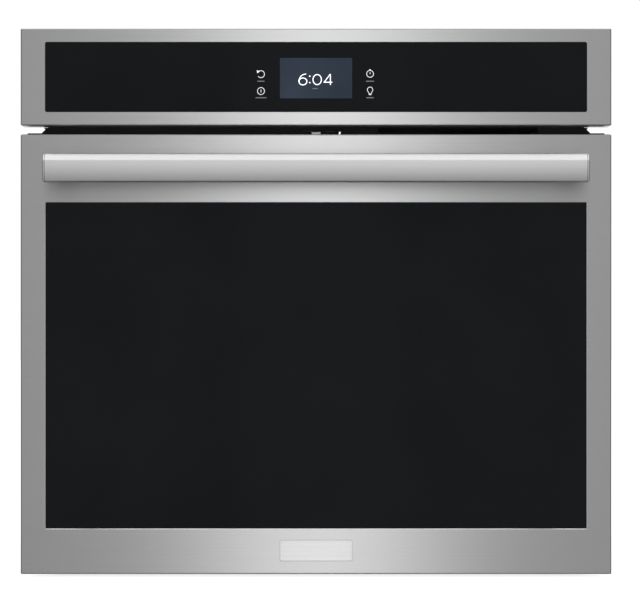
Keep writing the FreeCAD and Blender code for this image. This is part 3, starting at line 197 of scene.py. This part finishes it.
def enamel():
    """Dark blue-grey enamel with fine pale speckles."""
    shade = Shade("enamel", Coat_Weight=0.4, Coat_Roughness=0.12)
    specks = shade.cells((420, 420, 420))["Distance"]
    shade.tint(specks, (0.30, 0.32, 0.36), (0.030, 0.034, 0.046), 0.10, 0.26)
    shade.rough(shade.noise((60, 60, 60)), 0.18, 0.32)
    shade.bump(shade.noise((200, 200, 200)), 0.15, 0.0002)
    return shade.material


def black_glass():
    """Glass printed black behind, with the faintest unevenness."""
    shade = Shade("black_glass", Specular_IOR_Level=0.006)
    cloud = shade.noise((7, 7, 7))
    shade.tint(cloud, (0.0095, 0.0108, 0.0122), (0.0112, 0.0125, 0.0140))
    shade.rough(cloud, 0.05, 0.09)
    return shade.material


def clear_glass(name, tone, roughness):
    """A clear pane with a faint tint and slight haze."""
    shade = Shade(name, Transmission_Weight=0.95, IOR=1.5)
    haze = shade.noise((18, 18, 18))
    shade.tint(haze, tone, tuple(min(1.0, part * 1.05) for part in tone))
    shade.rough(haze, roughness, roughness + 0.04)
    return shade.material


def rack_wire():
    """Bright nickel-plated wire with drawn lines and a little heat tint."""
    shade = Shade("rack_wire", Metallic=1.0)
    heat = shade.noise((9, 9, 9))
    shade.tint(heat, (0.62, 0.58, 0.50), (0.78, 0.77, 0.75))
    shade.rough(shade.noise((700, 60, 700)), 0.14, 0.28)
    return shade.material


def element_sheath():
    """Heater tube with dull oxide."""
    shade = Shade("element_sheath", Metallic=0.8)
    scale = shade.noise((110, 110, 110), detail=6.0)
    shade.tint(scale, (0.06, 0.055, 0.05), (0.17, 0.155, 0.14))
    shade.rough(scale, 0.45, 0.7)
    shade.bump(scale, 0.3, 0.0002)
    return shade.material


def wool():
    """Yellowish mineral wool."""
    shade = Shade("wool", Roughness=0.95, Sheen_Weight=0.4)
    fibre = shade.noise((240, 60, 240), detail=8.0, roughness=0.8)
    shade.tint(fibre, (0.48, 0.42, 0.24), (0.80, 0.75, 0.56))
    shade.bump(fibre, 0.8, 0.003)
    return shade.material


def braid():
    """Woven glass-fibre seal."""
    shade = Shade("gasket_braid", Roughness=0.8)
    weave = shade.cells((520, 520, 520), "DISTANCE_TO_EDGE")["Distance"]
    shade.tint(weave, (0.05, 0.05, 0.055), (0.24, 0.24, 0.25), 0.0, 0.3)
    shade.bump(weave, 0.8, 0.0008)
    return shade.material


def moulded(name, dark, light, low, high, grain=900):
    """Moulded plastic or fired ceramic with a fine texture."""
    shade = Shade(name)
    texture = shade.noise((grain, grain, grain))
    shade.tint(shade.noise((25, 25, 25)), dark, light)
    shade.rough(texture, low, high)
    shade.bump(texture, 0.3, 0.0001)
    return shade.material


def circuit_board():
    """Green lacquer over faint copper tracks."""
    shade = Shade("board_green", Coat_Weight=0.5)
    tracks = shade.cells((160, 160, 160), "DISTANCE_TO_EDGE")["Distance"]
    shade.tint(tracks, (0.05, 0.20, 0.07), (0.008, 0.07, 0.022), 0.03, 0.09)
    shade.rough(tracks, 0.3, 0.45, 0.0, 0.2)
    return shade.material


def metal(name, dark, light, low, high, grain=(60, 60, 60)):
    """A plain metal with cloudy variation."""
    shade = Shade(name, Metallic=1.0)
    cloud = shade.noise(grain, detail=5.0)
    shade.tint(cloud, dark, light)
    shade.rough(cloud, low, high)
    shade.bump(cloud, 0.1, 0.0001)
    return shade.material


def lit(name, dark, light, strength, scale=(30, 30, 30)):
    """A lit graphic: its colour glows evenly, with a faint unevenness."""
    shade = Shade(name, Roughness=0.6, Specular_IOR_Level=0.0)
    shade.shader.inputs["Emission Strength"].default_value = strength
    colour = shade.tint(shade.noise(scale), dark, light)
    shade.join(colour, shade.shader.inputs["Emission Color"])
    return shade.material


SLOT_MATERIALS = {
    "stainless": brushed("stainless", (0.53, 0.53, 0.535), (0.63, 0.63, 0.635), 0.28, 0.34),
    "black_glass": black_glass(),
    "clear_glass": clear_glass("clear_glass", (0.88, 0.93, 0.91), 0.0),
    "galvanised": galvanised(),
    "black_paint": black_paint(),
    "enamel": enamel(),
    "rack_wire": rack_wire(),
    "element_sheath": element_sheath(),
    "wool": wool(),
    "gasket_braid": braid(),
    "black_plastic": moulded("black_plastic", (0.010, 0.010, 0.011), (0.018, 0.018, 0.019), 0.45, 0.6),
    "white_plastic": moulded("white_plastic", (0.66, 0.66, 0.63), (0.74, 0.74, 0.71), 0.35, 0.5),
    "board_green": circuit_board(),
    "display_blue": moulded("display_blue", (0.02, 0.03, 0.05), (0.03, 0.045, 0.07), 0.2, 0.3),
    "motor_steel": metal("motor_steel", (0.20, 0.20, 0.21), (0.34, 0.34, 0.35), 0.4, 0.6, (40, 900, 40)),
    "frosted_glass": clear_glass("frosted_glass", (0.90, 0.90, 0.86), 0.25),
    "spring_steel": metal("spring_steel", (0.26, 0.25, 0.24), (0.42, 0.41, 0.40), 0.3, 0.45),
    "screw_zinc": metal("screw_zinc", (0.52, 0.52, 0.48), (0.70, 0.70, 0.66), 0.25, 0.4, (500, 500, 500)),
    "badge_metal": brushed("badge_metal", (0.55, 0.55, 0.555), (0.63, 0.63, 0.635), 0.26, 0.32),
    "wheel_alloy": metal("wheel_alloy", (0.55, 0.55, 0.56), (0.70, 0.70, 0.71), 0.3, 0.45),
    "ceramic_base": moulded("ceramic_base", (0.72, 0.69, 0.62), (0.84, 0.81, 0.74), 0.25, 0.45, 300),
}
# painted light: the handle's steel is the door's stainless made much brighter, a lit copy standing in for
# the light the rounded bar catches
HANDLE_STEEL_PAINTED_LIGHT = brushed("handle_steel_painted_light", (0.80, 0.80, 0.81), (0.88, 0.88, 0.89), 0.38, 0.46, anisotropic=0.1)
BADGE_BORDER = metal("badge_border", (0.20, 0.20, 0.21), (0.27, 0.27, 0.28), 0.35, 0.45)
# painted highlight: the bevel round each window is the stainless made brighter and smoother, standing in
# all round for the bright line the lower bevels reflect; the bevel's own reflection is real
BEVEL_PAINTED_HIGHLIGHT = metal("bevel_painted_highlight", (0.72, 0.72, 0.73), (0.84, 0.84, 0.85), 0.16, 0.24)
DIGIT_LIGHT = lit("digit_light", (0.78, 0.80, 0.84), (0.86, 0.88, 0.92), 1.0)
ICON_LIGHT = lit("icon_light", (0.50, 0.50, 0.50), (0.58, 0.58, 0.58), 1.0)
DIM_LIGHT = lit("dim_light", (0.10, 0.10, 0.10), (0.13, 0.13, 0.13), 1.0)
SCREEN_LIGHT = lit("screen_light", (0.015, 0.021, 0.030), (0.021, 0.028, 0.039), 1.0, (14, 14, 14))


def paint_nodes():
    """Gives every CAD node the material of its slot."""
    for part in frame["record"]["subparts"]:
        node = frame["nodes"][part["node"]]
        for spot in node.material_slots:
            spot.material = SLOT_MATERIALS[part["material_slot"]]


# ---------------------------------------------------------------- mesh helpers

def piece(name, mesh, material, body, smooth=True):
    """A finished mesh as a piece that rides on a body."""
    data = bpy.data.meshes.new(name)
    mesh.to_mesh(data)
    mesh.free()
    thing = bpy.data.objects.new(name, data)
    bpy.context.collection.objects.link(thing)
    data.materials.append(material)
    if smooth:
        data.shade_smooth()
        data.set_sharp_from_angle(angle=SHARP_ANGLE)
    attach(thing, body)
    return thing


def loft(mesh, sections, close_ends=True):
    """Skins a row of closed sections that have the same number of points."""
    rings = [[mesh.verts.new(point) for point in section] for section in sections]
    count = len(rings[0])
    for ring, after in zip(rings, rings[1:]):
        for at in range(count):
            mesh.faces.new((ring[at], ring[(at + 1) % count], after[(at + 1) % count], after[at]))
    if close_ends:
        mesh.faces.new(list(reversed(rings[0])))
        mesh.faces.new(rings[-1])
    bmesh.ops.recalc_face_normals(mesh, faces=mesh.faces)


def ribbon(mesh, points, width, front, thick, closed=False):
    """A flat stroke along points in X and Z, of a given width, standing thick behind front in Y."""
    count = len(points)
    edges = []
    for at in range(count):
        before = points[at - 1] if closed or at > 0 else points[at]
        after = points[(at + 1) % count] if closed or at < count - 1 else points[at]
        way = Vector((after[0] - before[0], after[1] - before[1])).normalized()
        side = Vector((-way.y, way.x)) * width / 2
        edges.append((Vector(points[at]) + side, Vector(points[at]) - side))
    rear = front + thick
    sections = [[(left.x, front, left.y), (right.x, front, right.y),
                 (right.x, rear, right.y), (left.x, rear, left.y)] for left, right in edges]
    if closed:
        sections.append(sections[0])
    loft(mesh, sections, close_ends=not closed)


def arc(centre, radius, start, end, count=40, squash=1.0):
    """Points along an arc, its angles in degrees from +X towards +Z."""
    turns = [math.radians(start + (end - start) * at / count) for at in range(count + 1)]
    return [(centre[0] + radius * math.cos(turn), centre[1] + radius * squash * math.sin(turn))
            for turn in turns]


def circle(centre, radius, count=48, squash=1.0):
    """Points round a whole circle, the first not repeated."""
    return arc(centre, radius, 0, 360, count, squash)[:-1]


# ---------------------------------------------------------------- handle

def handle_outline(low, high):
    """The bar's section in Y and Z: a sloping top facet under a rounded top, and a bowed front."""
    front, back = low.y, high.y
    facet_tall, facet_deep = 9.3 * MM, 11 * MM
    corner, crest, lean, toe = 1.6 * MM, 6.5 * MM, 3.0 * MM, 4 * MM
    nose = 0.35 * MM
    slope = math.atan2(facet_tall, facet_deep)
    lap = crest * math.tan(slope / 2)
    ridge = high.z - facet_tall
    crown = ridge - 4 * MM
    foot = low.z + 2 * MM
    bow = lean / (crown - foot) ** 2

    points = [(back, low.z + corner), (back, high.z - corner)]
    for turn in (math.pi / 4, math.pi / 2):
        points.append((back - corner + corner * math.cos(turn), high.z - corner + corner * math.sin(turn)))
    hub = (front + facet_deep + lap, high.z - crest)
    crest_steps = 6
    for step in range(crest_steps + 1):
        turn = slope * step / crest_steps
        points.append((hub[0] - crest * math.sin(turn), hub[1] + crest * math.cos(turn)))
    points.append((front + nose, ridge + nose))
    front_steps = 16
    for step in range(front_steps + 1):
        height = ridge + (foot - ridge) * step / front_steps
        points.append((front + bow * (height - crown) ** 2, height))
    lip = points[-1][0]
    toe_steps = 5
    for step in range(1, toe_steps + 1):
        turn = math.pi / 2 * step / toe_steps
        points.append((lip + toe * (1 - math.cos(turn)), foot - (foot - low.z) * math.sin(turn)))
    points.append((back - corner, low.z))
    return points


def shrunk(points, inset):
    """A section drawn in towards its middle by about the inset."""
    middles, shares = [], []
    for along in zip(*points):
        middles.append(sum(along) / len(along))
        shares.append(1 - inset / ((max(along) - min(along)) / 2))
    return [tuple(middle + (spot - middle) * share for spot, middle, share in zip(point, middles, shares))
            for point in points]


def handle():
    """The bar and its two bulging end caps, with a dark seam between them."""
    low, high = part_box("handle_bar")
    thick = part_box("handle_end_caps")[1].x - high.x
    outline = handle_outline(low, high)
    bar = bmesh.new()
    loft(bar, [[(x, y, z) for y, z in outline] for x in (low.x, high.x)])
    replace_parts(piece("handle_bar_shell", bar, HANDLE_STEEL_PAINTED_LIGHT, "door"), "handle_bar")

    caps = bmesh.new()
    seams = bmesh.new()
    seam, seam_inset = 0.55 * MM, 0.3 * MM
    bulge, bulge_steps = 2.4 * MM, 10
    for side in (-1, 1):
        start = high.x if side > 0 else low.x
        steps = []
        for step in range(bulge_steps + 1):
            share = step / bulge_steps
            steps.append((seam + (thick - seam) * share, bulge * (1 - math.sqrt(1 - share ** 2))))
        loft(caps, [[(start + side * out, y, z) for y, z in shrunk(outline, inset)]
                    for out, inset in steps])
        loft(seams, [[(start + side * out, y, z) for y, z in shrunk(outline, seam_inset)]
                     for out in (0, seam)])
    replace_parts(piece("handle_caps", caps, HANDLE_STEEL_PAINTED_LIGHT, "door"), "handle_end_caps")
    piece("handle_seams", seams, SLOT_MATERIALS["black_plastic"], "door", smooth=False)


# ---------------------------------------------------------------- control panel graphics

SYMBOLS_LEFT, SYMBOLS_RIGHT = -71.0, 69.7


def clock_screen(low, high, front, back):
    """The lit screen behind the figures, its corners a little rounded."""
    mesh = bmesh.new()
    outline = ring_round(low.x, low.z, high.x, high.z, 0.8 * MM)
    loft(mesh, [[(x, y, z) for x, z in outline] for y in (front, back)])
    piece("clock_screen", mesh, SCREEN_LIGHT, "chassis", smooth=False)


def clock_figures(at, stroke):
    """The clock's plain figures: a six, a colon, a nought and a four."""
    mesh = bmesh.new()
    line = 1.12
    six, colon, nought, four = -16.9, -8.1, 1.5, 18.5
    bowl, bowl_up = 5.1, -4.3
    stem_wide, stem_tall, stem_steps = 9.2, 9.5, 10
    stroke(mesh, circle(at(six, bowl_up), bowl * MM, squash=0.88), line, closed=True)
    stem = []
    for step in range(stem_steps + 1):
        share = step / stem_steps
        rise = stem_tall * math.sin(math.pi / 2 * share)
        stem.append(at(six - bowl + stem_wide * share ** 1.9, bowl_up + rise))
    stroke(mesh, stem, line)
    stroke(mesh, circle(at(nought, -1.9), 5.4 * MM, squash=1.2), line, closed=True)
    top, bar, foot = 5.0, -5.3, -8.8
    stroke(mesh, [at(four - 0.2, top), at(four - 8.1, bar)], line)
    stroke(mesh, [at(four - 8.5, bar), at(four + 2.5, bar)], line)
    stroke(mesh, [at(four, top), at(four, foot)], line)
    dot = 0.9
    for height in (2.5, -5.8):
        stroke(mesh, circle(at(colon, height), dot / 2 * MM, 16), dot, closed=True)
    piece("clock_figures", mesh, DIGIT_LIGHT, "chassis", smooth=False)


def touch_symbols(at, stroke, front, thin):
    """A return arrow and a power ring on the left, a timer and a lamp on the right."""
    mesh = bmesh.new()
    line = 0.75
    ring = 4.5 * MM
    left, right, high, low = SYMBOLS_LEFT, SYMBOLS_RIGHT, 5.1, -16.7
    stroke(mesh, arc(at(left, high), ring, 125, -145), line)
    arrow = [at(left + x, high + z) for x, z in ((-5.4, 5.2), (-4.9, 1.0), (-1.4, 3.6))]
    loft(mesh, [[(x, y, z) for x, z in arrow] for y in (front, front + thin)])
    stroke(mesh, circle(at(left, low), ring), line, closed=True)
    stroke(mesh, [at(left, low - 1.9), at(left, low + 1.9)], line)
    stroke(mesh, circle(at(right, high + 0.4), 4.4 * MM), line, closed=True)
    stroke(mesh, [at(right, high), at(right, high + 2.4)], line)
    stroke(mesh, [at(right, high + 4.8), at(right, high + 6.2)], 1.8)
    stroke(mesh, arc(at(right, low + 1.6), 3.5 * MM, -48, 228), line)
    for side in (-1, 1):
        stroke(mesh, [at(right + side * 2.3, low - 1.0), at(right + side * 1.4, low - 3.4)], line)
    stroke(mesh, [at(right - 1.6, low - 4.2), at(right + 1.6, low - 4.2)], 1.6)
    piece("touch_symbols", mesh, ICON_LIGHT, "chassis", smooth=False)


def symbol_rules(at, stroke):
    """The short plain bars under the symbols and under the clock."""
    mesh = bmesh.new()
    upper, lower, clock_middle, clock_low = -4.0, -25.3, -1.3, -13.5
    for x, z, half in ((SYMBOLS_LEFT, upper, 4.6), (SYMBOLS_LEFT, lower, 7.0),
                       (SYMBOLS_RIGHT, upper, 5.2), (SYMBOLS_RIGHT, lower, 4.8),
                       (clock_middle, clock_low, 3.4)):
        stroke(mesh, [at(x - half, z), at(x + half, z)], 1.2)
    piece("symbol_rules", mesh, DIM_LIGHT, "chassis", smooth=False)


def graphics():
    """The lit screen, the clock's figures and the touch symbols on the control glass."""
    glass_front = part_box("control_glass")[0].y
    panel_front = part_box("control_panel_frame")[0].y
    low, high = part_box("display_module")
    middle = (low + high) / 2
    layer = (glass_front - panel_front) / 5
    mark_front = glass_front - 2 * layer
    thin = layer * 0.8

    def at(x, z):
        """A spot in X and Z, given in millimetres from the screen's middle."""
        return middle.x + x * MM, middle.z + z * MM

    def stroke(mesh, points, width, closed=False):
        """A line of a width in millimetres on the control glass."""
        ribbon(mesh, points, width * MM, mark_front, thin, closed)

    clock_screen(low, high, glass_front - layer, glass_front)
    clock_figures(at, stroke)
    touch_symbols(at, stroke, mark_front, thin)
    symbol_rules(at, stroke)


# ---------------------------------------------------------------- fine edges

def ring_round(left, low, right, high, radius):
    """Points round a rectangle with rounded corners, in X and Z."""
    points = []
    for x, z, start in ((right, high, 0), (left, high, 90), (left, low, 180), (right, low, 270)):
        centre = (x - math.copysign(radius, x - (left + right) / 2),
                  z - math.copysign(radius, z - (low + high) / 2))
        points += arc(centre, radius, start, start + 90, 6)
    return points


def window_edge(name, steel, glass, lap, wide, body):
    """The fine bevel round a window in the steel: level at the face, sunk at the glass."""
    front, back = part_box(steel)[0].y + 2 * CRUMB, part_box(glass)[0].y - 2 * CRUMB
    low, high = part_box(glass)
    left, bottom, right, top = low.x + lap, low.z + lap, high.x - lap, high.z - lap
    round_by = 2.5 * MM
    outer = ring_round(left, bottom, right, top, round_by)
    inner = ring_round(left + wide, bottom + wide, right - wide, top - wide, round_by - wide)
    mesh = bmesh.new()
    rings = [[mesh.verts.new((x, y, z)) for x, z in points]
             for points, y in ((outer, front), (inner, back), (outer, back))]
    count = len(outer)
    for ring, after in zip(rings, rings[1:] + rings[:1]):
        for at in range(count):
            mesh.faces.new((ring[at], ring[(at + 1) % count], after[(at + 1) % count], after[at]))
    bmesh.ops.recalc_face_normals(mesh, faces=mesh.faces)
    # the bevel wears the brightened steel, a painted highlight
    piece(name, mesh, BEVEL_PAINTED_HIGHLIGHT, body, smooth=False)


def edges():
    """The bevelled edges of the door's window and of the control panel's."""
    window_edge("door_window_edge", "door_skin", "outer_glass", 12 * MM, 0.9 * MM, "door")
    window_edge("panel_window_edge", "control_panel_frame", "control_glass", 8 * MM, 0.55 * MM, "chassis")


def nameplate_rim():
    """The darker line round the blank nameplate."""
    low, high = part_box("badge_plate")
    inset = 0.6 * MM
    mesh = bmesh.new()
    path = ring_round(low.x + inset, low.z + inset, high.x - inset, high.z - inset, 1.5 * MM)
    ribbon(mesh, path, 1.1 * MM, low.y + CRUMB, 0.45 * MM, closed=True)
    piece("nameplate_rim", mesh, BADGE_BORDER, "door", smooth=False)


# ---------------------------------------------------------------- stage

def floor():
    """A plain pale floor that reflections in the steel leave out."""
    reach = 14.0
    mesh = bmesh.new()
    level = cad_box[0][2]
    mesh.faces.new([mesh.verts.new((x, y, level)) for x, y in
                    ((-reach, -reach), (reach, -reach), (reach, reach), (-reach, reach))])
    data = bpy.data.meshes.new("floor")
    mesh.to_mesh(data)
    mesh.free()
    thing = bpy.data.objects.new("floor", data)
    bpy.context.collection.objects.link(thing)
    shade = Shade("floor", Roughness=0.9, Specular_IOR_Level=0.0)
    shade.tint(shade.noise((3, 3, 3)), (0.60, 0.60, 0.60), (0.61, 0.61, 0.61))
    shade.shader.inputs["Emission Color"].default_value = (1, 1, 1, 1)
    shade.shader.inputs["Emission Strength"].default_value = 0.8
    data.materials.append(shade.material)
    thing.visible_glossy = False


def lamp(name, spot, target, wide, tall, glow):
    """A soft rectangular light whose face has a given brightness."""
    light = bpy.data.lights.new(name, "AREA")
    light.shape = "RECTANGLE"
    light.size = wide
    light.size_y = tall
    light.energy = math.pi * wide * tall * glow
    thing = bpy.data.objects.new(name, light)
    thing.location = spot
    thing.rotation_euler = (Vector(target) - Vector(spot)).to_track_quat("-Z", "Y").to_euler()
    bpy.context.collection.objects.link(thing)


def surroundings():
    """Even studio light: white behind the oven, softer in front of it and dark underfoot."""
    white_behind = 1.05
    world = bpy.data.worlds.new("studio")
    world.use_nodes = True
    tree = world.node_tree
    way = tree.nodes.new("ShaderNodeTexCoord")
    split = tree.nodes.new("ShaderNodeSeparateXYZ")
    tree.links.new(way.outputs["Generated"], split.inputs["Vector"])
    ahead = tree.nodes.new("ShaderNodeMapRange")
    behind = tree.nodes.new("ShaderNodeMapRange")
    for node, axis, start, end, low, high in ((ahead, "Z", -0.95, 0.1, 0.05, 0.52),
                                              (behind, "Y", -0.1, 0.35, 0.0, 1.0)):
        for name, number in (("From Min", start), ("From Max", end), ("To Min", low), ("To Max", high)):
            node.inputs[name].default_value = number
        tree.links.new(split.outputs[axis], node.inputs["Value"])
    blend = tree.nodes.new("ShaderNodeMix")
    blend.inputs["B"].default_value = white_behind
    tree.links.new(behind.outputs["Result"], blend.inputs["Factor"])
    tree.links.new(ahead.outputs["Result"], blend.inputs["A"])
    tree.links.new(blend.outputs["Result"], tree.nodes["Background"].inputs["Strength"])
    tree.nodes["Background"].inputs["Color"].default_value = (1, 1, 1, 1)
    bpy.context.scene.world = world


def camera():
    """A long lens square to the front, at half the oven's height."""
    away = 4.0
    covered = 0.8251
    up = 0.3576
    data = bpy.data.cameras.new("camera")
    data.sensor_width = 36
    data.lens = data.sensor_width * away / covered
    data.shift_x = 0.0062
    data.shift_y = 0.0055
    thing = bpy.data.objects.new("camera", data)
    thing.location = (0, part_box("door_skin")[0].y - away, up)
    thing.rotation_euler = (math.pi / 2, 0, 0)
    bpy.context.collection.objects.link(thing)
    bpy.context.scene.camera = thing


def stage():
    """Floor, soft lights and camera."""
    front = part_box("door_skin")[0].y
    floor()
    surroundings()
    lamp("front_strip", spot=(0.01, front - 4.8, 0.8), target=(0.01, front, 0.8),
         wide=0.46, tall=5.2, glow=2.2)
    lamp("overhead", spot=(0, front + 0.35, 3.0), target=(0, front + 0.2, 0.5),
         wide=3.2, tall=1.2, glow=0.9)
    lamp("right_fill", spot=(1.7, front - 4.6, 1.0), target=(0.3, front, 1.0),
         wide=0.9, tall=4.0, glow=0.2)
    bpy.context.scene.view_settings.view_transform = "Standard"
    camera()


paint_nodes()
handle()
graphics()
edges()
nameplate_rim()
stage()
